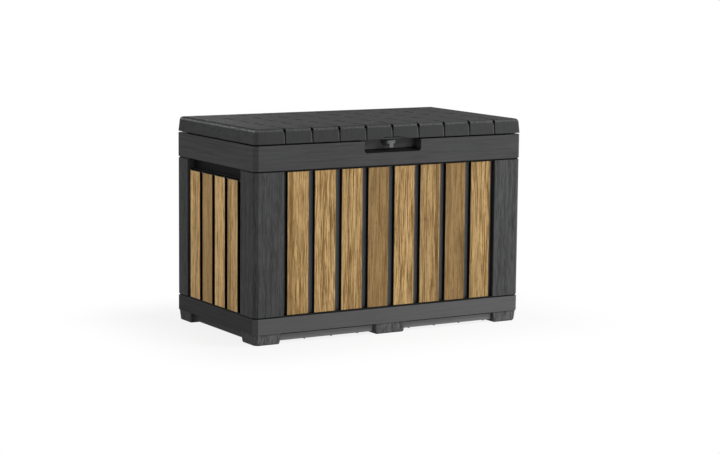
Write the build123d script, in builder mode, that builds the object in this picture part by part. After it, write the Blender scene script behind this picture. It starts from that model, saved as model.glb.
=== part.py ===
"""A dock box: a moulded resin chest with wood-look slats, six feet and a hinged, lockable lid."""

import os
from collections import namedtuple
from math import radians, sqrt, tan

from build123d import *

os.makedirs("parts", exist_ok=True)

# The frame: X runs along the box, Y from front to back, Z up, with the floor at zero.
# An inset is a distance inward from the outer face of the wall that a piece belongs to.

# Overall size of the closed box; the depth is that of the body, without its hinges
width = 828.0
depth = 460.0
height = 563.0

# Heights of the layers, from the floor up; the posts and panels fill what is left
foot_height = 29.0
band_height = 41.0
rim_height = 65.0
lid_height = 39.0
shadow_height = 4.0
shadow_depth = 3.0

# Moulded walls and what every moulded piece shares
wall = 3.0
corner_cut = 11.0
inner_cut = 3.0
fit_gap = 0.3
overrun = 2.0

# Corner posts
post_inset = 0.5
post_depth = 24.0
post_face_leg = 86.0
post_side_leg_front = 80.0
post_side_leg_rear = 66.0
spigot_height = 20.0
lip_gap = 0.2
lip_overlap = 8.0

# Slats and the panels that carry them
front_count = 8
front_slat_gap = 17.4
front_end_gap = 12.1
front_slat_inset = 4.5
side_count = 4
side_slat_gap = 15.4
side_end_gap = 17.3
side_slat_inset = 1.0
slat_thickness = 4.0
slat_end_gap = 0.5
slat_edge = 0.8
relief = 13.0
rib_margin = 1.0
rib_wall = 2.5
rail_height = 8.0
tongue = 8.0
handhold_height = 27.0
handhold_depth = 21.5
ledge_inset = 6.0
handhold_margin = 10.0

# Base tray
tray_floor_z = 41.0
skirt_inset = 14.0
skirt_z = 8.0
rib_height = 8.0
rib_start_inset = 40.0
nub_z = 3.0
nub_length = 9.0
cross_rib_spacing = 110.0
cross_rib_count = 3

# Feet
foot_inset = 2.2
foot_lean = 2.8
foot_flank = 4.5
foot_face_length = 82.0
foot_side_length = 80.0
mid_foot_length = 96.0
mid_foot_depth = 60.0
mid_foot_cut = 3.0
foot_edge = 2.0
foot_clearance = 1.0
peg_width = 10.0
peg_height = 8.0
peg_gap = 0.2
foot_boss_width = 16.0

# Latch recess in the front of the rim, with the padlock tabs
recess_width = 175.5
recess_depth = 35.0
recess_height = 31.5
recess_rise = 7.5
recess_radius = 8.0
tab_width = 27.0
tab_thickness = 4.0
tab_drop = 5.5
tab_inset = 9.0
tab_corner = 3.0
tab_gap = 0.3
tab_flange = 4.5
tab_flange_thickness = 2.5
lock_hole_radius = 4.25
hasp_hole_radius = 5.0
lock_hole_inset = 22.0
stem_width = 12.0
stem_depth = 6.0
stem_height = 11.0
hasp_depth = 22.0
hasp_leg_depth = 3.5

# Rim seat
ridge_inset = 20.0
ridge_height = 3.7

# Lid shell
lid_wall = 4.5
lid_corner = 14.0
lid_edge = 10.0
lid_taper = 6.5
lid_inner_edge = 4.0
groove_width = 3.5
groove_depth = 2.3
notch_reach = 19.0
notch_drop = 16.0
notch_width = 6.0
notch_backing = 4.5
slot_length = 56.0
slot_width = 5.0
slot_depth = 2.3
slot_rows = 5
slot_row_pitch = 86.5
arch_width = 87.0
arch_top_width = 50.0
arch_height = 5.0
arch_radius = 12.0
pad_rise = 2.0
pad_height = 26.0
pad_margin = 4.0

# Lid liner
liner_gap = 0.6
liner_wall = 3.0
liner_rib_inset = 44.0
liner_rib_spacing = 110.0
liner_rib_count = 3

# Hinges
hinge_count = 3
hinge_spacing = 270.0
leaf_length = 80.0
leaf_thickness = 3.0
leaf_corner = 4.0
box_leaf_height = 33.0
lid_leaf_height = 21.0
box_leaf_drop = 9.0
lid_leaf_lift = 8.0
knuckle_count = 3
knuckle_radius = 6.0
knuckle_gap = 0.4
web_depth = 2.5
pin_reach = 8.0
pin_radius = 2.5
pin_clearance = 0.05
pin_head_radius = 4.0
pin_head_length = 1.5
screw_spacing = 50.0
screws_per_leaf = 2
shank_radius = 2.0
shank_clearance = 0.2
pilot_clearance = 0.05
screw_length = 15.0
screw_head_radius = 4.6
screw_head_sides = 6
screw_head_height = 2.6
boss_width = 11.0

# Levels that follow from the layers
band_z = foot_height
band_top = band_z + band_height
deck_z = band_top + shadow_height
lid_z = height - lid_height
rim_top = lid_z - shadow_height
rim_z = rim_top - rim_height
panel_top = rim_z - shadow_height
panel_height = panel_top - deck_z
ledge_z = panel_top - handhold_height

# Places that follow from the plan
hinge_reach = pin_reach + knuckle_radius
body_y = -hinge_reach / 2
front_y = body_y - depth / 2
rear_y = body_y + depth / 2
post_inner = post_inset + post_depth
lip_inset = post_inner + lip_gap
front_sheet_inset = front_slat_inset + relief
side_sheet_inset = side_slat_inset + relief

# Openings between the posts, and the slats that share them out evenly
front_opening = width - 2 * post_face_leg
side_opening = depth - post_side_leg_front - post_side_leg_rear
side_centre_y = (front_y + post_side_leg_front + rear_y - post_side_leg_rear) / 2
front_slat = (front_opening - (front_count - 1) * front_slat_gap - 2 * front_end_gap) / front_count
side_slat = (side_opening - (side_count - 1) * side_slat_gap - 2 * side_end_gap) / side_count
front_pitch = front_slat + front_slat_gap
side_pitch = side_slat + side_slat_gap

# The hinge line and the tabs
axis_y = rear_y + pin_reach
axis_z = rim_top + shadow_height / 2
leaf_back = rear_y + leaf_thickness
box_screw_z = axis_z - box_leaf_drop - box_leaf_height / 2
lid_screw_z = axis_z + lid_leaf_lift + lid_leaf_height / 2
tab_top = rim_top - tab_drop
hasp_z = tab_top + tab_gap


def save(piece, name):
    """Label a finished piece and write its file."""
    piece.part.label = name
    export_step(piece.part, f"parts/{name}.step")


def spread(count, pitch):
    """Centres of a row of copies at a pitch, about zero."""
    return [(place - (count - 1) / 2) * pitch for place in range(count)]


def level(z):
    """Horizontal plane centred on the body."""
    return Plane(origin=(0, body_y, z))


def front_wall(z):
    """Horizontal plane on the front face: x along the wall, y inward."""
    return Plane(origin=(0, front_y, z), x_dir=(1, 0, 0), z_dir=(0, 0, 1))


def rear_wall(z):
    """Horizontal plane on the rear face: x along the wall, y inward."""
    return Plane(origin=(0, rear_y, z), x_dir=(-1, 0, 0), z_dir=(0, 0, 1))


def left_wall(z):
    """Horizontal plane on the left face, at the middle of its opening: y inward."""
    return Plane(origin=(-width / 2, side_centre_y, z), x_dir=(0, -1, 0), z_dir=(0, 0, 1))


def right_wall(z):
    """Horizontal plane on the right face, at the middle of its opening: y inward."""
    return Plane(origin=(width / 2, side_centre_y, z), x_dir=(0, 1, 0), z_dir=(0, 0, 1))


def cut_at(inset, cut=corner_cut):
    """Length of a corner cut once its outline has moved in by an inset."""
    return max(cut - inset * (2 - sqrt(2)), min(cut, inner_cut))


def box_outline(inset, mode=Mode.ADD):
    """Plan outline of the body, moved in by an inset, in the current sketch."""
    with BuildSketch() as outline:
        Rectangle(width - 2 * inset, depth - 2 * inset)
        chamfer(outline.vertices(), cut_at(inset))
    add(outline.sketch, mode=mode)


def slab(z, inset, rise, mode=Mode.ADD):
    """The body's plan outline as a slab, in the current part."""
    with BuildSketch(level(z)) as plan:
        box_outline(inset)
    extrude(plan.sketch, amount=rise, mode=mode)


def ring(z, outer, inner, rise, mode=Mode.ADD):
    """The band between two insets of the body's plan outline, in the current part."""
    with BuildSketch(level(z)) as plan:
        box_outline(outer)
        box_outline(inner, Mode.SUBTRACT)
    extrude(plan.sketch, amount=rise, mode=mode)


def block(plane, x_low, x_high, y_low, y_high, rise, mode=Mode.ADD):
    """A block over a rectangle of a plane, in the current part."""
    with BuildSketch(plane) as plan:
        with Locations((x_low, y_low)):
            Rectangle(x_high - x_low, y_high - y_low, align=(Align.MIN, Align.MIN))
    extrude(plan.sketch, amount=rise, mode=mode)


def discs(plane, places, radius, rise, mode=Mode.ADD):
    """Round bars or holes at several places of a plane, in the current part."""
    with BuildSketch(plane) as plan:
        with Locations(*places):
            Circle(radius)
    extrude(plan.sketch, amount=rise, mode=mode)


# The corners, each with a plane whose x and y run along its two walls
Leg = namedtuple("Leg", "length sheet_inset slot_height foot_length")
face_leg = Leg(post_face_leg, front_sheet_inset, panel_height, foot_face_length)
front_side_leg = Leg(post_side_leg_front, side_sheet_inset, ledge_z - deck_z, foot_side_length)
rear_side_leg = Leg(post_side_leg_rear, side_sheet_inset, ledge_z - deck_z, foot_side_length)
Corner = namedtuple("Corner", "name x y direction first second")
corners = (
    Corner("front_left", -width / 2, front_y, (1, 0, 0), face_leg, front_side_leg),
    Corner("front_right", width / 2, front_y, (0, 1, 0), front_side_leg, face_leg),
    Corner("rear_right", width / 2, rear_y, (-1, 0, 0), face_leg, rear_side_leg),
    Corner("rear_left", -width / 2, rear_y, (0, -1, 0), rear_side_leg, face_leg),
)


def corner_plane(corner, z):
    """Horizontal plane with its origin on the sharp outer corner."""
    return Plane(origin=(corner.x, corner.y, z), x_dir=corner.direction, z_dir=(0, 0, 1))


def post_outline(near, far, tip_x, tip_y):
    """L-shaped plan of a post or a spigot, in the current sketch of a corner plane."""
    cut = cut_at(near)
    Polygon(
        (near + cut, near),
        (tip_x, near),
        (tip_x, far),
        (far, far),
        (far, tip_y),
        (near, tip_y),
        (near, near + cut),
    )


def make_post(corner):
    """A hollow L-shaped post with a slot in each end for a panel's tongue."""
    first, second = corner.first, corner.second
    with BuildPart() as post:
        with BuildSketch(corner_plane(corner, deck_z)):
            post_outline(post_inset, post_inner, first.length, second.length)
            offset(amount=-wall, kind=Kind.INTERSECTION, mode=Mode.SUBTRACT)
        extrude(amount=panel_height)
        plane = corner_plane(corner, deck_z)
        x_low, x_high = first.length - wall - overrun, first.length + overrun
        y_low, y_high = first.sheet_inset - fit_gap, first.sheet_inset + wall + fit_gap
        block(plane, x_low, x_high, y_low, y_high, first.slot_height, Mode.SUBTRACT)
        x_low, x_high = second.sheet_inset - fit_gap, second.sheet_inset + wall + fit_gap
        y_low, y_high = second.length - wall - overrun, second.length + overrun
        block(plane, x_low, x_high, y_low, y_high, second.slot_height, Mode.SUBTRACT)
    save(post, f"post_{corner.name}")


def spigot(corner, z, rise):
    """A hollow plug that fills a post's end, clear of the tongues, in the current part."""
    near = post_inset + wall + fit_gap
    far = post_inner - wall - fit_gap
    tip_x = corner.first.length - tongue - fit_gap
    tip_y = corner.second.length - tongue - fit_gap
    with BuildSketch(corner_plane(corner, z)) as plan:
        post_outline(near, far, tip_x, tip_y)
        offset(amount=-wall, kind=Kind.INTERSECTION, mode=Mode.SUBTRACT)
    extrude(plan.sketch, amount=rise)


# The feet, each with the rectangle that its top covers on a wall or corner plane
Foot = namedtuple("Foot", "name plane_at x_low x_high y_low y_high lean_x cut_low cut_high")


def corner_foot(corner):
    """Top rectangle of a foot under a corner."""
    return Foot(
        f"foot_{corner.name}",
        lambda z: corner_plane(corner, z),
        foot_inset,
        corner.first.foot_length,
        foot_inset,
        corner.second.foot_length,
        foot_lean,
        cut_at(foot_inset),
        mid_foot_cut,
    )


def middle_foot(name, plane_at):
    """Top rectangle of a foot in the middle of the front or the rear."""
    half = mid_foot_length / 2
    far = foot_inset + mid_foot_depth
    return Foot(name, plane_at, -half, half, foot_inset, far, foot_flank, mid_foot_cut, mid_foot_cut)


feet = [corner_foot(corner) for corner in corners]
feet.append(middle_foot("foot_front_middle", front_wall))
feet.append(middle_foot("foot_rear_middle", rear_wall))


def foot_outline(foot, inset, lean_x=0, lean_y=0, flank=0):
    """Plan of a foot moved in by an inset, with its sides leant in as well."""
    x_low, x_high = foot.x_low + inset + lean_x, foot.x_high - inset - flank
    y_low, y_high = foot.y_low + inset + lean_y, foot.y_high - inset - flank
    cut_low, cut_high = cut_at(inset, foot.cut_low), cut_at(inset, foot.cut_high)
    Polygon(
        (x_low + cut_low, y_low),
        (x_high - cut_high, y_low),
        (x_high, y_low + cut_high),
        (x_high, y_high),
        (x_low, y_high),
        (x_low, y_low + cut_low),
    )


def foot_loft(foot, inset, z, mode=Mode.ADD):
    """The tapered body of a foot between a level and its top, in the current part."""
    with BuildSketch(foot.plane_at(z)) as bottom:
        foot_outline(foot, inset, foot.lean_x, foot_lean, foot_flank)
    with BuildSketch(foot.plane_at(foot_height)) as top:
        foot_outline(foot, inset)
    loft([bottom.sketch, top.sketch], ruled=True, mode=mode)


def foot_bar(foot, z, bar_width, rise, mode=Mode.ADD):
    """A square bar or hole over the middle of a foot, in the current part."""
    with BuildSketch(foot.plane_at(z)) as plan:
        with Locations(((foot.x_low + foot.x_high) / 2, (foot.y_low + foot.y_high) / 2)):
            Rectangle(bar_width, bar_width)
    extrude(plan.sketch, amount=rise, mode=mode)


def make_foot(foot):
    """A tapered cup with a central boss whose peg plugs into the base."""
    with BuildPart() as cup:
        foot_loft(foot, 0, 0)
        chamfer(cup.faces().sort_by(Axis.Z)[0].edges(), foot_edge)
        foot_loft(foot, wall, wall, Mode.SUBTRACT)
        foot_bar(foot, wall, foot_boss_width, foot_height - wall)
        foot_bar(foot, foot_height, peg_width, peg_height)
    save(cup, foot.name)


# Base tray: outer band, raised deck, sunk floor, set-back skirt and ribs
with BuildPart() as base_tray:
    slab(band_z, 0, band_height)
    slab(band_top, shadow_depth, shadow_height)
    slab(band_z, wall, band_height - wall, Mode.SUBTRACT)
    slab(band_top - wall, shadow_depth + wall, shadow_height, Mode.SUBTRACT)
    ring(skirt_z, skirt_inset, skirt_inset + wall, deck_z - wall - skirt_z)
    slab(tray_floor_z, lip_inset, deck_z + lip_overlap - tray_floor_z)
    slab(tray_floor_z + wall, lip_inset + wall, deck_z + lip_overlap, Mode.SUBTRACT)

    # Lengthwise and cross ribs under the floor, each with a nub that shows below the skirt
    rib_z = tray_floor_z - rib_height
    rib_end = depth / 2 - rib_start_inset
    nub_start = rib_end - nub_length
    rise = tray_floor_z - nub_z
    for x in spread(front_count + 1, front_pitch):
        x_low, x_high = x - wall / 2, x + wall / 2
        block(level(rib_z), x_low, x_high, -rib_end, rib_end, rib_height)
        block(level(nub_z), x_low, x_high, -rib_end, -nub_start, rise)
        block(level(nub_z), x_low, x_high, nub_start, rib_end, rise)
    cross_end = width / 2 - rib_start_inset
    for y in spread(cross_rib_count, cross_rib_spacing):
        block(level(rib_z), -cross_end, cross_end, y - wall / 2, y + wall / 2, rib_height)

    # Room for each foot, and the seat plate and peg hole above it
    for foot in feet:
        x_low, x_high = foot.x_low - foot_inset, foot.x_high + foot_clearance
        y_high = foot.y_high + foot_clearance
        block(foot.plane_at(0), x_low, x_high, 0, y_high, foot_height, Mode.SUBTRACT)
        with BuildSketch(foot.plane_at(band_z)) as seat:
            foot_outline(foot, -foot_inset / 2)
        extrude(seat.sketch, amount=wall)
        foot_bar(foot, band_z, peg_width + 2 * peg_gap, peg_height + peg_gap, Mode.SUBTRACT)

    for corner in corners:
        spigot(corner, deck_z, spigot_height)
save(base_tray, "base_tray")

for foot in feet:
    make_foot(foot)

for corner in corners:
    make_post(corner)


def ribbed_sheet(plane_at, opening, places, slat_width, slat_inset, rise):
    """Upright sheet with a hollow rib behind each slat, in the current part."""
    sheet_inset = slat_inset + relief
    rib_front = slat_inset + slat_thickness
    rib_width = slat_width - 2 * rib_margin
    with BuildSketch(plane_at(deck_z)) as section:
        with Locations((0, sheet_inset)):
            Rectangle(opening + 2 * tongue, wall, align=(Align.CENTER, Align.MIN))
        with Locations(*[(x, rib_front) for x in places]):
            Rectangle(rib_width, sheet_inset - rib_front, align=(Align.CENTER, Align.MIN))
        with Locations(*[(x, rib_front + rib_wall) for x in places]):
            channel = sheet_inset - rib_front - rib_wall
            align = (Align.CENTER, Align.MIN)
            Rectangle(rib_width - 2 * rib_wall, channel, align=align, mode=Mode.SUBTRACT)
    extrude(section.sketch, amount=rise)


def make_face_panel(name, plane_at):
    """Front or rear panel: a ribbed sheet with a rail along its top and its foot."""
    half = front_opening / 2 - fit_gap
    back = front_sheet_inset + wall
    with BuildPart() as panel:
        places = spread(front_count, front_pitch)
        ribbed_sheet(plane_at, front_opening, places, front_slat, front_slat_inset, panel_height)
        for z in (deck_z, panel_top - rail_height):
            block(plane_at(z), -half, half, back - wall, post_inner, rail_height)
    save(panel, name)


def make_side_panel(name, plane_at):
    """Side panel: a ribbed sheet up to a ledge, with the hand-hold's back above it."""
    half = side_opening / 2 - fit_gap
    back = side_sheet_inset + wall
    with BuildPart() as panel:
        places = spread(side_count, side_pitch)
        rise = ledge_z - deck_z
        ribbed_sheet(plane_at, side_opening, places, side_slat, side_slat_inset, rise)
        block(plane_at(deck_z), -half, half, back - wall, post_inner, rail_height)
        block(plane_at(ledge_z - wall), -half, half, ledge_inset, post_inner, wall)
        block(plane_at(ledge_z - wall), -half, half, handhold_depth, post_inner, handhold_height + wall)
    save(panel, name)


def make_slats(prefix, plane_at, places, slat_width, slat_inset, top):
    """A row of upright boards with eased front edges."""
    for number, x in enumerate(places, start=1):
        plane = plane_at(deck_z + slat_end_gap)
        with BuildPart() as slat:
            rise = top - deck_z - 2 * slat_end_gap
            x_low, x_high = x - slat_width / 2, x + slat_width / 2
            block(plane, x_low, x_high, slat_inset, slat_inset + slat_thickness, rise)
            inward = Axis(plane.origin, plane.y_dir)
            chamfer(slat.faces().sort_by(inward)[0].edges(), slat_edge)
        save(slat, f"{prefix}_slat_{number}")


make_face_panel("front_panel", front_wall)
make_face_panel("rear_panel", rear_wall)
make_side_panel("left_panel", left_wall)
make_side_panel("right_panel", right_wall)
front_places = spread(front_count, front_pitch)
side_places = spread(side_count, side_pitch)
make_slats("front", front_wall, front_places, front_slat, front_slat_inset, panel_top)
make_slats("left", left_wall, side_places, side_slat, side_slat_inset, ledge_z)
make_slats("right", right_wall, side_places, side_slat, side_slat_inset, ledge_z)


def recess_form(grow):
    """Shape of the latch recess, moved out by a wall: open upward, with a sloping floor."""
    floor = rim_top - recess_height - grow
    back = recess_depth + grow
    half = recess_width / 2 + grow
    with BuildPart() as form:
        with BuildSketch(Plane.YZ.offset(-half)):
            Polygon(
                (front_y, floor),
                (front_y + back, floor + recess_rise),
                (front_y + back, rim_top),
                (front_y, rim_top),
            )
        extrude(amount=2 * half)
        floor_edges = form.faces().sort_by(Axis.Z)[0].edges()
        fillet(floor_edges.filter_by(Axis.X, reverse=True), recess_radius + grow)
    return form.part


recess_inside = recess_form(0)
recess_outside = recess_form(wall)

# Screws through both hinge leaves, along the rear wall
hinge_places = spread(hinge_count, hinge_spacing)
screw_places = [x + step for x in hinge_places for step in spread(screws_per_leaf, screw_spacing)]


def screw_plane(z):
    """Upright plane on the outer face of the leaves, facing into the box."""
    return Plane(origin=(0, leaf_back, z), x_dir=(1, 0, 0), z_dir=(0, -1, 0))


def screw_row(z, radius, start, rise, mode=Mode.ADD):
    """Round bars or holes along every screw, from a depth under the leaves' outer face."""
    plane = screw_plane(z).offset(start)
    discs(plane, [(x, 0) for x in screw_places], radius, rise, mode)


def boss_row(z, start, rise):
    """A square boss around every screw, in the current part."""
    half = boss_width / 2
    for x in screw_places:
        block(screw_plane(z).offset(start), x - half, x + half, -half, half, rise)


# Rim frame: a closed box section with a lip inside the posts, a seat ridge and the recess
with BuildPart() as rim_frame:
    inner = lip_inset + wall
    ring(panel_top, shadow_depth, inner, shadow_height)
    ring(rim_z, 0, inner, rim_height)
    ring(panel_top + wall, shadow_depth + wall, lip_inset, shadow_height, Mode.SUBTRACT)
    ring(rim_z + wall, wall, lip_inset, rim_height - 2 * wall, Mode.SUBTRACT)
    ring(panel_top - lip_overlap, lip_inset, inner, lip_overlap)
    ring(rim_top, ridge_inset, ridge_inset + wall, ridge_height)
    add(recess_outside)
    add(recess_inside, mode=Mode.SUBTRACT)
    x_end = recess_width / 2
    block(front_wall(rim_top), -x_end, x_end, 0, recess_depth, overrun + ridge_height, Mode.SUBTRACT)

    # Finger room above each hand-hold
    half = side_opening / 2 - handhold_margin
    for plane_at in (left_wall, right_wall):
        plane = plane_at(panel_top)
        rise = shadow_height + wall
        block(plane, -half, half, wall, handhold_depth, rise, Mode.SUBTRACT)

    # Slot for the lock staple, bosses for the hinge screws and plugs for the posts
    slot_half = tab_width / 2 + lip_gap
    slot_z = tab_top - tab_thickness - lip_gap
    slot_y = recess_depth + wall + overrun
    rise = tab_thickness + 2 * lip_gap
    block(front_wall(slot_z), -slot_half, slot_half, recess_depth, slot_y, rise, Mode.SUBTRACT)
    boss_row(box_screw_z, leaf_thickness + wall, lip_inset - wall)
    hole = shank_radius + pilot_clearance
    screw_row(box_screw_z, hole, 0, screw_length + overrun, Mode.SUBTRACT)
    for corner in corners:
        spigot(corner, panel_top, -spigot_height)
save(rim_frame, "rim_frame")


def tab_plate(z, back, rise, hole_radius):
    """A tongue with cut front corners and a padlock hole, in the current part."""
    with BuildSketch(front_wall(z)) as plan:
        with Locations((0, tab_inset)):
            Rectangle(tab_width, back - tab_inset, align=(Align.CENTER, Align.MIN))
        chamfer(plan.vertices().group_by(Axis.Y)[0], tab_corner)
        with Locations((0, lock_hole_inset)):
            Circle(hole_radius, mode=Mode.SUBTRACT)
    extrude(plan.sketch, amount=rise)


# Lock staple: a tongue through the recess's back wall, with a stem under its front edge
with BuildPart() as lock_staple:
    staple_z = tab_top - tab_thickness
    clip = recess_depth + wall
    tab_plate(staple_z, clip + tab_flange_thickness, tab_thickness, lock_hole_radius)
    half = tab_width / 2 + tab_flange
    low = staple_z - tab_flange
    rise = tab_thickness + 2 * tab_flange
    block(front_wall(low), -half, half, clip, clip + tab_flange_thickness, rise)
    half = stem_width / 2
    stem_back = tab_inset + stem_depth
    block(front_wall(staple_z), -half, half, tab_inset, stem_back, -stem_height)
save(lock_staple, "lock_staple")

# The hollow under the lid's top
with BuildPart() as lid_hollow:
    with BuildSketch(level(lid_z)):
        RectangleRounded(width - 2 * lid_wall, depth - 2 * lid_wall, lid_corner - lid_wall)
    extrude(amount=lid_height - lid_wall, taper=lid_taper)
    chamfer(lid_hollow.faces().sort_by(Axis.Z)[-1].edges(), lid_inner_edge)

# Lid shell: a tapered tray, open below, with a wall all round
with BuildPart() as lid_shell:
    with BuildSketch(level(lid_z)):
        RectangleRounded(width, depth, lid_corner)
    extrude(amount=lid_height, taper=lid_taper)
    fillet(lid_shell.faces().sort_by(Axis.Z)[-1].edges(), lid_edge)
    add(lid_hollow.part, mode=Mode.SUBTRACT)

    # Grooves down the front, each running into a deep notch over the rounded edge
    lean = tan(radians(lid_taper))
    groove_places = spread(front_count + 1, front_pitch)
    backing_half = notch_width / 2 + lid_wall
    for x in groove_places:
        with BuildSketch(Plane.YZ.offset(x - backing_half)) as backing:
            rise = lid_height - notch_drop - notch_backing
            reach = notch_reach + notch_backing + lid_height * lean
            Polygon(
                (front_y + rise * lean + lid_wall / 2, lid_z + rise),
                (front_y + reach, height - lid_wall / 2),
                (front_y + lid_edge, height - lid_wall / 2),
                (front_y + lid_wall / 2 + lid_height * lean, height - lid_edge),
            )
        extrude(backing.sketch, amount=2 * backing_half)
    for x in groove_places:
        with BuildSketch(Plane.YZ.offset(x - groove_width / 2)) as groove:
            Polygon(
                (front_y - overrun, lid_z - overrun),
                (front_y + groove_depth - overrun * lean, lid_z - overrun),
                (front_y + groove_depth + lid_height * lean, height),
                (front_y - overrun, height),
            )
        extrude(groove.sketch, amount=groove_width, mode=Mode.SUBTRACT)
        with BuildSketch(Plane.YZ.offset(x - notch_width / 2)) as notch:
            Polygon(
                (front_y + (lid_height - notch_drop) * lean, height - notch_drop),
                (front_y + notch_reach + lid_height * lean, height),
                (front_y - overrun, height + overrun),
                (front_y - overrun, height - notch_drop),
            )
        extrude(notch.sketch, amount=notch_width, mode=Mode.SUBTRACT)

    # Interrupted grooves across the top, in straight rows
    with BuildSketch(level(height)) as slots:
        with GridLocations(front_pitch, slot_row_pitch, front_count + 1, slot_rows):
            Rectangle(slot_width, slot_length)
    extrude(slots.sketch, amount=-slot_depth, mode=Mode.SUBTRACT)

    # Finger arch over the recess
    with BuildSketch(Plane.XZ.offset(-front_y)) as arch:
        low = arch_width / 2
        high = arch_top_width / 2
        Polygon(
            (-low, lid_z),
            (low, lid_z),
            (high, lid_z + arch_height),
            (-high, lid_z + arch_height),
        )
        fillet(arch.vertices().group_by(Axis.Y)[-1], arch_radius)
    extrude(arch.sketch, amount=-lid_wall - overrun, mode=Mode.SUBTRACT)

    # Upright pads behind the hinge leaves, with bosses for their screws
    for x in hinge_places:
        half = leaf_length / 2 + pad_margin
        plane = rear_wall(lid_z + pad_rise)
        block(plane, -x - half, -x + half, 0, lid_wall, pad_height)
    boss_depth = screw_length + wall
    boss_row(lid_screw_z, leaf_thickness + wall, boss_depth - leaf_thickness)
    hole = shank_radius + pilot_clearance
    screw_row(lid_screw_z, hole, 0, screw_length + overrun, Mode.SUBTRACT)
save(lid_shell, "lid_shell")


# Lid liner: closes the lid from below, with long ribs that hold up the lid's top
with BuildPart() as lid_liner:
    margin = lid_wall + liner_gap
    with BuildSketch(level(lid_z)):
        RectangleRounded(width - 2 * margin, depth - 2 * margin, lid_corner - lid_wall)
    extrude(amount=liner_wall)
    half = width / 2 - liner_rib_inset
    rise = lid_height - lid_wall - liner_wall - fit_gap
    for y in spread(liner_rib_count, liner_rib_spacing):
        y_low, y_high = y - liner_wall / 2, y + liner_wall / 2
        block(level(lid_z + liner_wall), -half, half, y_low, y_high, rise)

    # Slot for the hasp's leg
    slot_half = tab_width / 2 + lip_gap
    leg_front = tab_inset + hasp_depth - hasp_leg_depth
    y_low, y_high = leg_front - lip_gap, tab_inset + hasp_depth + lip_gap
    block(front_wall(lid_z), -slot_half, slot_half, y_low, y_high, liner_wall, Mode.SUBTRACT)
save(lid_liner, "lid_liner")

# Lid hasp: hangs from the liner and lies over the staple, with a wider hole
with BuildPart() as lid_hasp:
    leg_back = tab_inset + hasp_depth
    leg_front = leg_back - hasp_leg_depth
    liner_top = lid_z + liner_wall
    tab_plate(hasp_z, leg_back, tab_thickness, hasp_hole_radius)
    half = tab_width / 2
    block(front_wall(hasp_z), -half, half, leg_front, leg_back, liner_top - hasp_z)
    half = tab_width / 2 + tab_flange
    y_low, y_high = leg_front - tab_flange, leg_back + tab_flange
    block(front_wall(liner_top), -half, half, y_low, y_high, tab_flange_thickness)
save(lid_hasp, "lid_hasp")

knuckle_pitch = leaf_length / knuckle_count


def make_leaf(name, x, plate_z, plate_rise, web_z, web_rise, numbers, screw_z):
    """One hinge leaf: a screwed plate whose knuckles are drawn into it by webs."""
    with BuildPart() as leaf:
        for number in numbers:
            start = x - leaf_length / 2 + number * knuckle_pitch + knuckle_gap / 2
            with BuildSketch(Plane.YZ.offset(start)) as knuckle:
                with Locations((axis_y, axis_z)):
                    Circle(knuckle_radius)
                with Locations((rear_y, web_z)):
                    align = (Align.MIN, Align.MIN)
                    Rectangle(leaf_thickness, web_rise, align=align)
                make_hull()
            extrude(knuckle.sketch, amount=knuckle_pitch - knuckle_gap)
        half = leaf_length / 2
        with BuildSketch(screw_plane(plate_z)) as plate:
            with Locations((x, plate_rise / 2)):
                Rectangle(2 * half, plate_rise)
            chamfer(plate.vertices(), leaf_corner)
        extrude(plate.sketch, amount=leaf_thickness)
        bore = pin_radius + pin_clearance
        discs(Plane.YZ.offset(x - half), [(axis_y, axis_z)], bore, leaf_length, Mode.SUBTRACT)
        places = [(x + step, 0) for step in spread(screws_per_leaf, screw_spacing)]
        hole = shank_radius + shank_clearance
        discs(screw_plane(screw_z), places, hole, leaf_thickness, Mode.SUBTRACT)
    save(leaf, name)


def make_pin(name, x):
    """A hinge pin with a head at one end and a plain end at the other."""
    half = leaf_length / 2
    axis_point = [(axis_y, axis_z)]
    with BuildPart() as pin:
        discs(Plane.YZ.offset(x - half), axis_point, pin_radius, leaf_length + pin_head_length)
        discs(Plane.YZ.offset(x - half), axis_point, pin_head_radius, -pin_head_length)
    save(pin, name)


def make_screws(name, z):
    """The screws of every leaf on one line: six-sided heads on plain shanks."""
    with BuildPart() as screws:
        screw_row(z, shank_radius, 0, screw_length)
        with BuildSketch(screw_plane(z)) as heads:
            with Locations(*[(x, 0) for x in screw_places]):
                RegularPolygon(screw_head_radius, screw_head_sides)
        extrude(heads.sketch, amount=-screw_head_height)
    save(screws, name)


box_leaf_top = axis_z - box_leaf_drop
lid_leaf_bottom = axis_z + lid_leaf_lift
for number, x in enumerate(hinge_places, start=1):
    make_leaf(
        f"hinge_box_leaf_{number}",
        x,
        box_leaf_top - box_leaf_height,
        box_leaf_height,
        box_leaf_top - web_depth,
        web_depth,
        range(0, knuckle_count, 2),
        box_screw_z,
    )
    make_leaf(
        f"hinge_lid_leaf_{number}",
        x,
        lid_leaf_bottom,
        lid_leaf_height,
        lid_leaf_bottom,
        web_depth,
        range(1, knuckle_count, 2),
        lid_screw_z,
    )
    make_pin(f"hinge_pin_{number}", x)
make_screws("hinge_box_screws", box_screw_z)
make_screws("hinge_lid_screws", lid_screw_z)
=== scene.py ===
from math import cos, sin

import bmesh
import bpy
from mathutils import Matrix, Vector


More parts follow.
